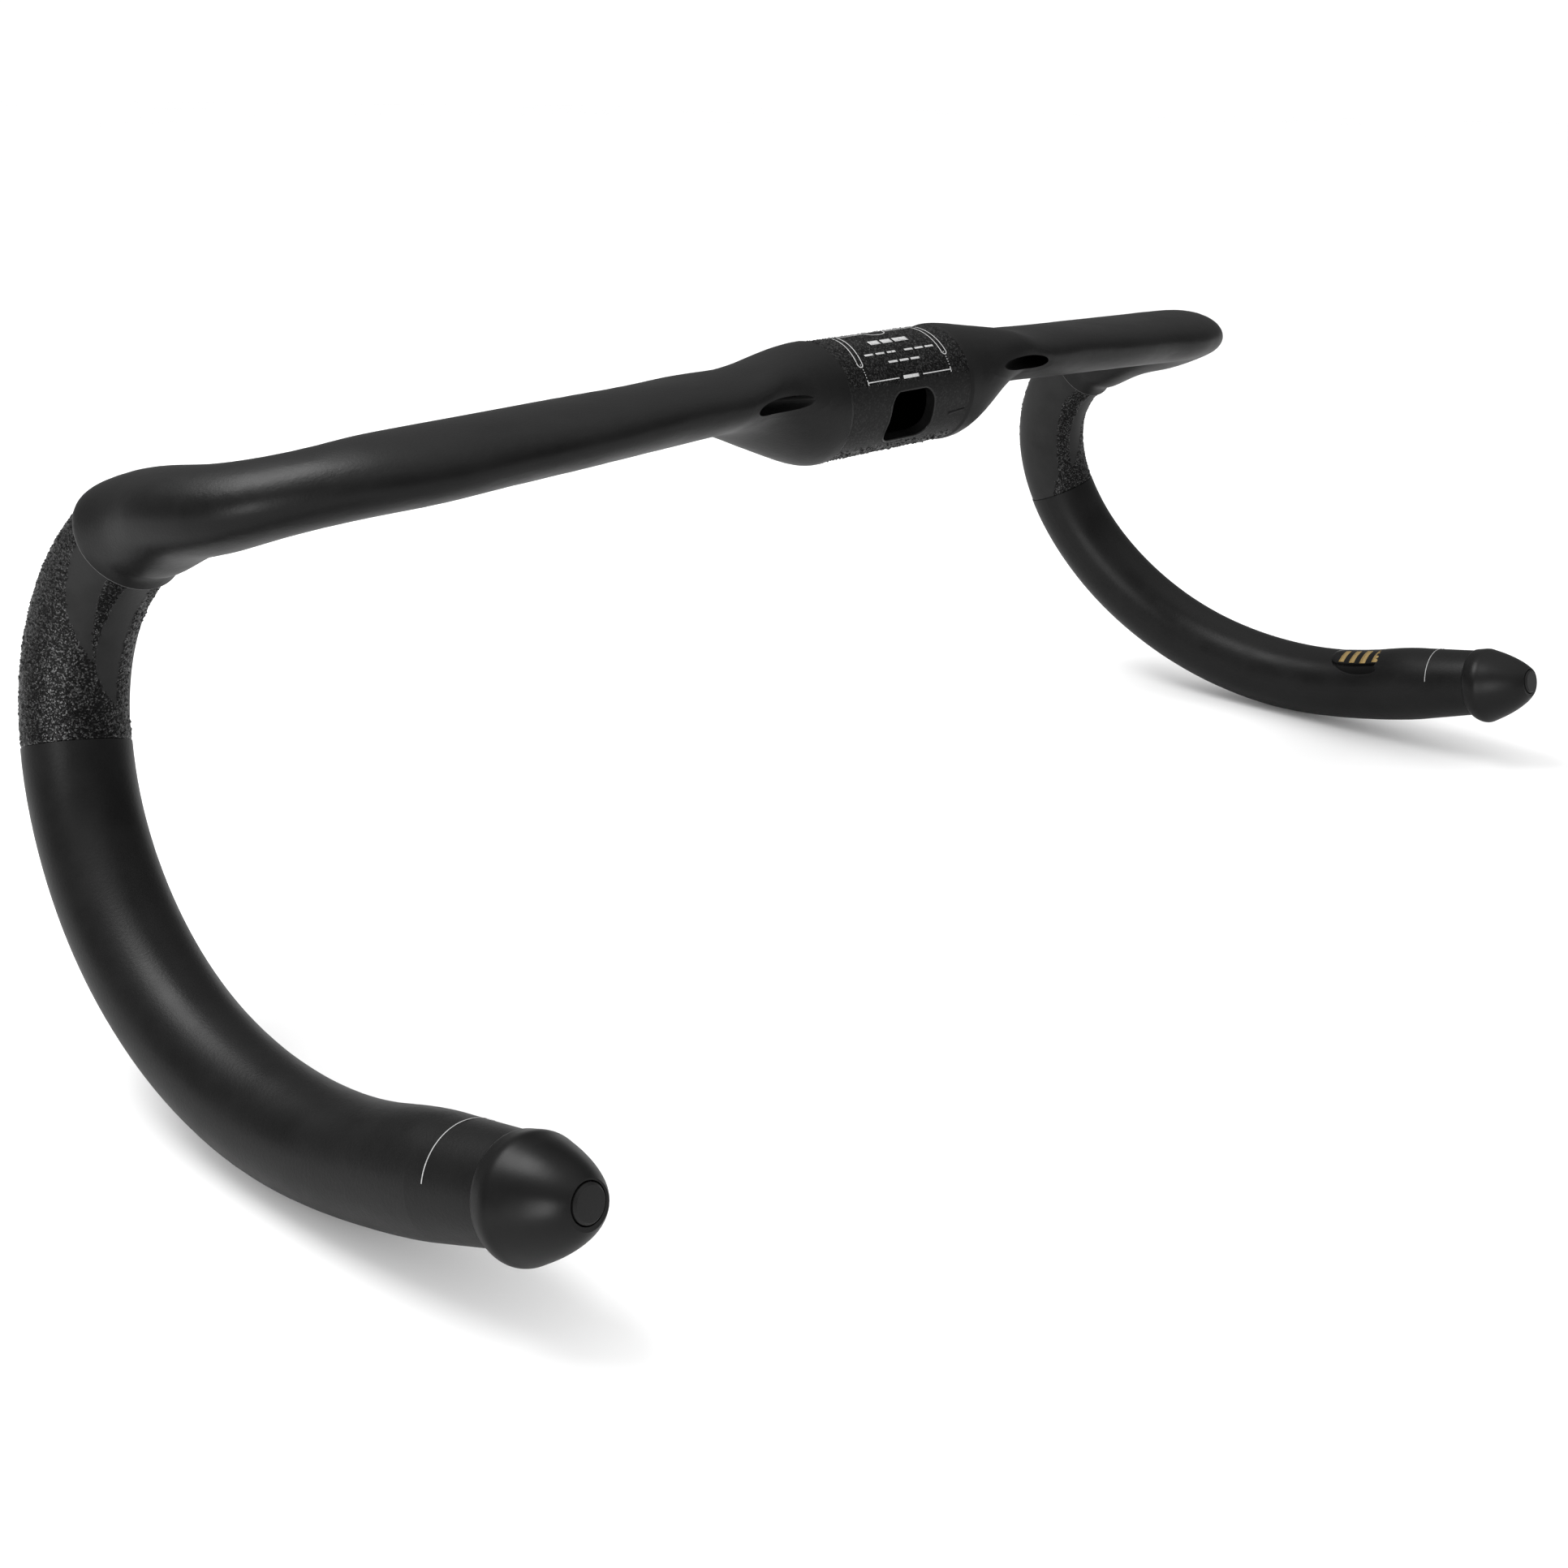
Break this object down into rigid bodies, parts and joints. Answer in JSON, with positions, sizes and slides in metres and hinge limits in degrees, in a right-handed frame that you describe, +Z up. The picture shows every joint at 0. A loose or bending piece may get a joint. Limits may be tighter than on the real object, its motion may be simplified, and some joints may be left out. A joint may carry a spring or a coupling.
{
  "type": "drop handlebar",
  "caption": "Aero drop handlebar with a wing-shaped top, forward-sweeping corners, flared drops, gritty clamp zones and expander bar-end plugs.",
  "frame": {"origin": "centre of the stem clamp seat, on the seat's axis and the bar's plane of symmetry", "axes": "+X to the rider's right along the clamp axis, +Y forward, +Z up"},
  "size_m": [0.4516, 0.2072, 0.1559],
  "materials": {
    "carbon": "satin black carbon laminate with a faint grain",
    "grit": "gritty gloss black grip coat",
    "plug_plastic": "satin black moulded",
    "button_plastic": "semi-gloss black moulded",
    "steel": "zinc plated",
    "wedge_alloy": "turned",
    "ring_rubber": "matte",
    "jaw_plastic": "moulded nylon"
  },
  "bodies": {
    "handlebar": {"top_section": "carbon", "clamp_grip_coat": "grit", "right_drop": "carbon", "left_drop": "carbon", "right_lever_grip_coat": "grit", "left_lever_grip_coat": "grit"},
    "right_plug": {"right_plug_cap": "plug_plastic", "right_plug_washer": "steel", "right_plug_ring": "ring_rubber"},
    "right_plug_button": {"right_plug_button": "button_plastic"},
    "right_plug_screw": {"right_plug_screw": "steel"},
    "right_plug_wedge": {"right_plug_wedge": "wedge_alloy"},
    "right_plug_jaw_1": {"right_plug_jaw_1": "jaw_plastic"},
    "right_plug_jaw_2": {"right_plug_jaw_2": "jaw_plastic"},
    "right_plug_jaw_3": {"right_plug_jaw_3": "jaw_plastic"},
    "left_plug": {"left_plug_cap": "plug_plastic", "left_plug_washer": "steel", "left_plug_ring": "ring_rubber"},
    "left_plug_button": {"left_plug_button": "button_plastic"},
    "left_plug_screw": {"left_plug_screw": "steel"},
    "left_plug_wedge": {"left_plug_wedge": "wedge_alloy"},
    "left_plug_jaw_1": {"left_plug_jaw_1": "jaw_plastic"},
    "left_plug_jaw_2": {"left_plug_jaw_2": "jaw_plastic"},
    "left_plug_jaw_3": {"left_plug_jaw_3": "jaw_plastic"}
  },
  "joints": [
    {"name": "right_plug_slide", "type": "slide", "parent": "handlebar", "child": "right_plug", "axis": [-0.0563, -0.9677, 0.2457], "range_m": [0, 0.06]},
    {"name": "right_button_slide", "type": "slide", "parent": "right_plug", "child": "right_plug_button", "axis": [-0.0563, -0.9677, 0.2457], "range_m": [0, 0.012]},
    {"name": "right_screw_turn", "type": "hinge", "parent": "right_plug", "child": "right_plug_screw", "pos_m": [0.21, -0.09708, -0.11287], "axis": [-0.0563, -0.9677, 0.2457], "range_deg": [0, 1800]},
    {"name": "right_wedge_slide", "type": "slide", "parent": "right_plug", "child": "right_plug_wedge", "axis": [0.0563, 0.9677, -0.2457], "range_m": [0, 0.0035]},
    {"name": "right_jaw_1_slide", "type": "slide", "parent": "right_plug", "child": "right_plug_jaw_1", "axis": [0.9984, -0.0545, 0.0138], "range_m": [0, 0.000618]},
    {"name": "right_jaw_2_slide", "type": "slide", "parent": "right_plug", "child": "right_plug_jaw_2", "axis": [-0.4992, 0.2404, 0.8325], "range_m": [0, 0.000618]},
    {"name": "right_jaw_3_slide", "type": "slide", "parent": "right_plug", "child": "right_plug_jaw_3", "axis": [-0.4992, -0.1859, -0.8463], "range_m": [0, 0.000618]},
    {"name": "left_plug_slide", "type": "slide", "parent": "handlebar", "child": "left_plug", "axis": [0.0563, -0.9677, 0.2457], "range_m": [0, 0.06]},
    {"name": "left_button_slide", "type": "slide", "parent": "left_plug", "child": "left_plug_button", "axis": [0.0563, -0.9677, 0.2457], "range_m": [0, 0.012]},
    {"name": "left_screw_turn", "type": "hinge", "parent": "left_plug", "child": "left_plug_screw", "pos_m": [-0.21, -0.09708, -0.11287], "axis": [0.0563, -0.9677, 0.2457], "range_deg": [0, 1800]},
    {"name": "left_wedge_slide", "type": "slide", "parent": "left_plug", "child": "left_plug_wedge", "axis": [-0.0563, 0.9677, -0.2457], "range_m": [0, 0.0035]},
    {"name": "left_jaw_1_slide", "type": "slide", "parent": "left_plug", "child": "left_plug_jaw_1", "axis": [-0.9984, -0.0545, 0.0138], "range_m": [0, 0.000618]},
    {"name": "left_jaw_2_slide", "type": "slide", "parent": "left_plug", "child": "left_plug_jaw_2", "axis": [0.4992, 0.2404, 0.8325], "range_m": [0, 0.000618]},
    {"name": "left_jaw_3_slide", "type": "slide", "parent": "left_plug", "child": "left_plug_jaw_3", "axis": [0.4992, -0.1859, -0.8463], "range_m": [0, 0.000618]}
  ],
  "couplings": [
    {"joint": "right_screw_turn", "follows": "right_wedge_slide", "rad_per_m": 8976},
    {"joint": "right_jaw_1_slide", "follows": "right_wedge_slide", "ratio": 0.17632},
    {"joint": "right_jaw_2_slide", "follows": "right_wedge_slide", "ratio": 0.17632},
    {"joint": "right_jaw_3_slide", "follows": "right_wedge_slide", "ratio": 0.17632},
    {"joint": "left_screw_turn", "follows": "left_wedge_slide", "rad_per_m": 8976},
    {"joint": "left_jaw_1_slide", "follows": "left_wedge_slide", "ratio": 0.17632},
    {"joint": "left_jaw_2_slide", "follows": "left_wedge_slide", "ratio": 0.17632},
    {"joint": "left_jaw_3_slide", "follows": "left_wedge_slide", "ratio": 0.17632}
  ]
}
